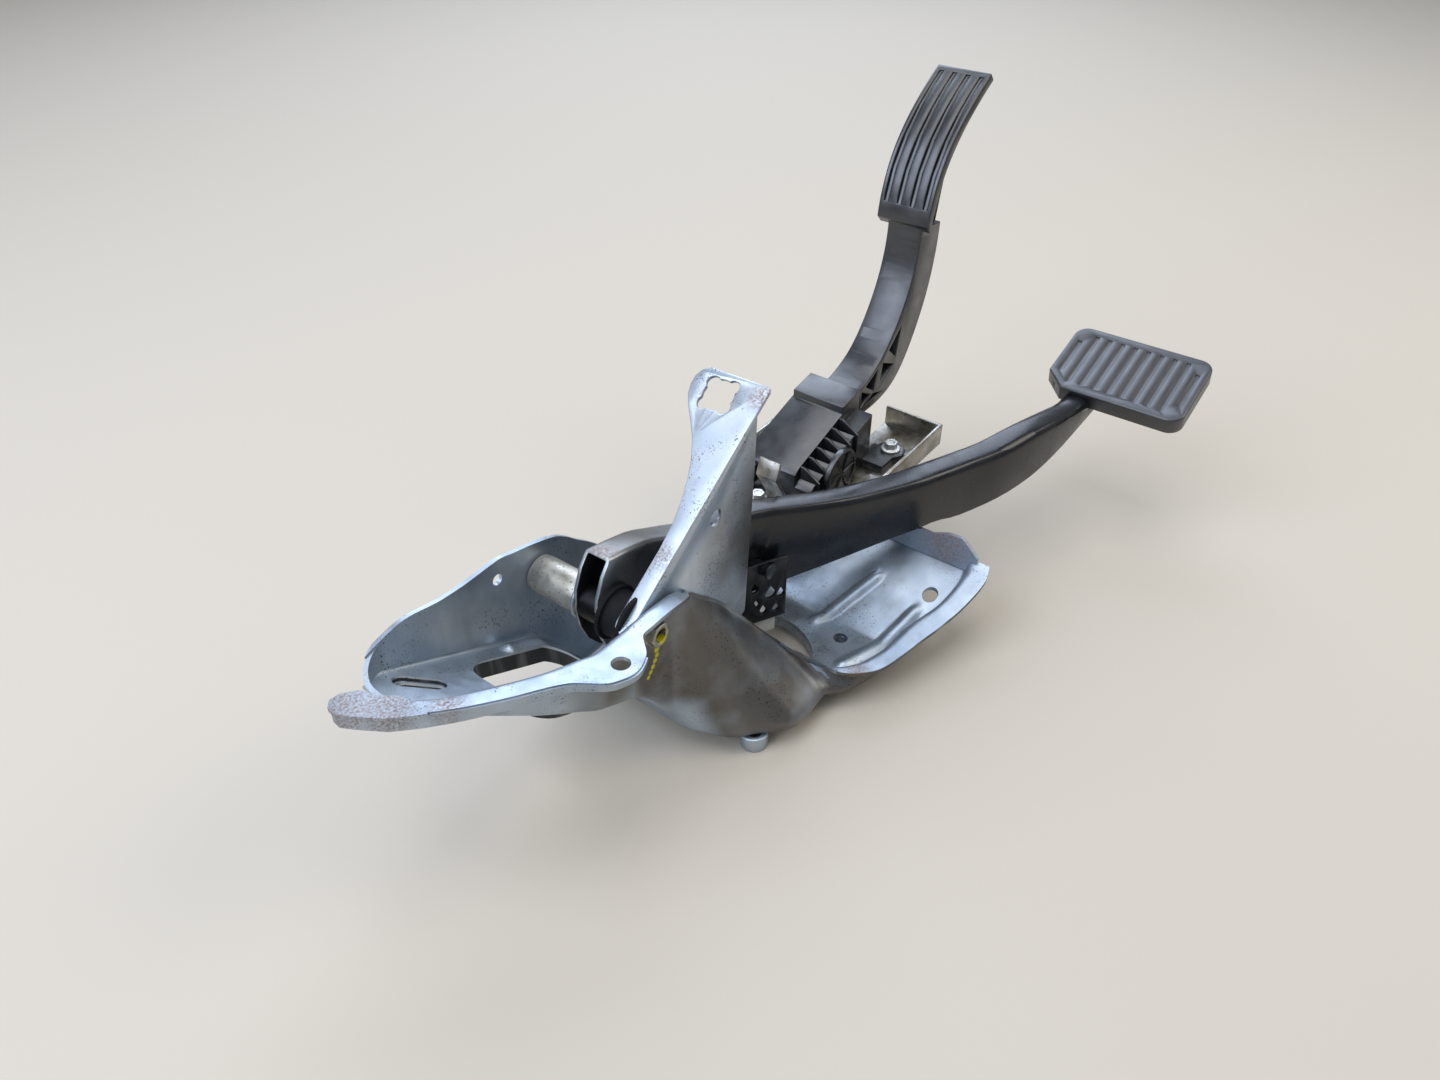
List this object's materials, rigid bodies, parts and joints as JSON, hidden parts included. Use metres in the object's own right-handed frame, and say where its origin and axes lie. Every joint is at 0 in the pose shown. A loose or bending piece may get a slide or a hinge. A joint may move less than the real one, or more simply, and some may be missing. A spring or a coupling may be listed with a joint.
{
  "type": "pedal assembly",
  "caption": "Pedal box with a pressed steel mounting bracket, a cranked brake pedal on a cross pivot, and a sprung moulded accelerator pedal on its own tray.",
  "frame": {"origin": "centre of the rectangle of booster stud holes, on the firewall face of the bosses", "axes": "+Z out of the firewall into the cabin, +X towards the pads, +Y along the pedal pivot from the nut to the bolt head"},
  "size_m": [0.5746, 0.2425, 0.286],
  "materials": {
    "base_steel": "bare galvanised pressed steel, dull, with fine dark pitting and light rust at the sheared edges",
    "strut_steel": "bare galvanised pressed steel with drawing lines and rust freckles",
    "plated_steel": "yellow-olive passivated zinc plate, satin",
    "bright_zinc": "bright zinc plate, fairly glossy",
    "arm_paint": "satin black dip paint over pressed steel",
    "tray_steel": "zinc plated pressed steel with bright edges and a faint yellow stain",
    "pad_rubber": "matte black moulded rubber",
    "black_nylon": "satin black glass-filled plastic",
    "white_plastic": "plain off-white moulded plastic",
    "bush_plastic": "grey bearing plastic",
    "black_steel": "thin black phosphate coat on sheet steel",
    "magnet": "dull grey bonded magnet",
    "board": "green circuit board",
    "pin_brass": "tinned brass blades",
    "spring_steel": "bare spring wire"
  },
  "bodies": {
    "base": {"base_bracket": "base_steel", "mount_bosses": "base_steel", "floor_doubler": "base_steel", "upright_strut": "strut_steel", "pivot_bolt": "plated_steel", "pivot_nut": "plated_steel", "pivot_sleeve": "bright_zinc", "accelerator_tray": "tray_steel", "locating_tab": "bright_zinc", "tray_bolts": "bright_zinc", "tray_nuts": "bright_zinc", "limiter_tubes": "bright_zinc", "accelerator_housing": "black_nylon", "side_cover": "black_nylon", "accelerator_shaft": "bright_zinc", "sensor_board": "board", "connector_shell": "black_nylon", "connector_pins": "pin_brass", "return_spring_outer": "spring_steel", "return_spring_inner": "spring_steel"},
    "brake_pedal": {"hub_tube": "plated_steel", "hub_bushes": "bush_plastic", "brake_arm_root": "base_steel", "brake_arm": "arm_paint", "pushrod_pin": "black_steel", "pad_plate": "arm_paint", "brake_pad": "pad_rubber"},
    "rod_end": {"pushrod_clevis": "black_steel", "clevis_clip": "white_plastic"},
    "accelerator_pedal": {"accelerator_arm": "black_nylon", "arm_bush": "bush_plastic", "magnet_ring": "magnet"}
  },
  "joints": [
    {"name": "brake_pivot", "type": "hinge", "parent": "base", "child": "brake_pedal", "pos_m": [-0.09, 0.034, 0.1], "axis": [0, -1, 0], "range_deg": [0, 16]},
    {"name": "rod_end_swivel", "type": "hinge", "parent": "brake_pedal", "child": "rod_end", "pos_m": [0.0145, 0.0175, 0.072], "axis": [0, 1, 0], "range_deg": [0, 16]},
    {"name": "accelerator_pivot", "type": "hinge", "parent": "base", "child": "accelerator_pedal", "pos_m": [0.112, 0.045, 0.085], "axis": [0, 1, 0], "range_deg": [0, 15], "stiffness_Nm_per_rad": 6, "springref_deg": -20.05, "deforming": ["return_spring_outer", "return_spring_inner"]}
  ],
  "couplings": [
    {"joint": "rod_end_swivel", "follows": "brake_pivot", "ratio": 1}
  ]
}
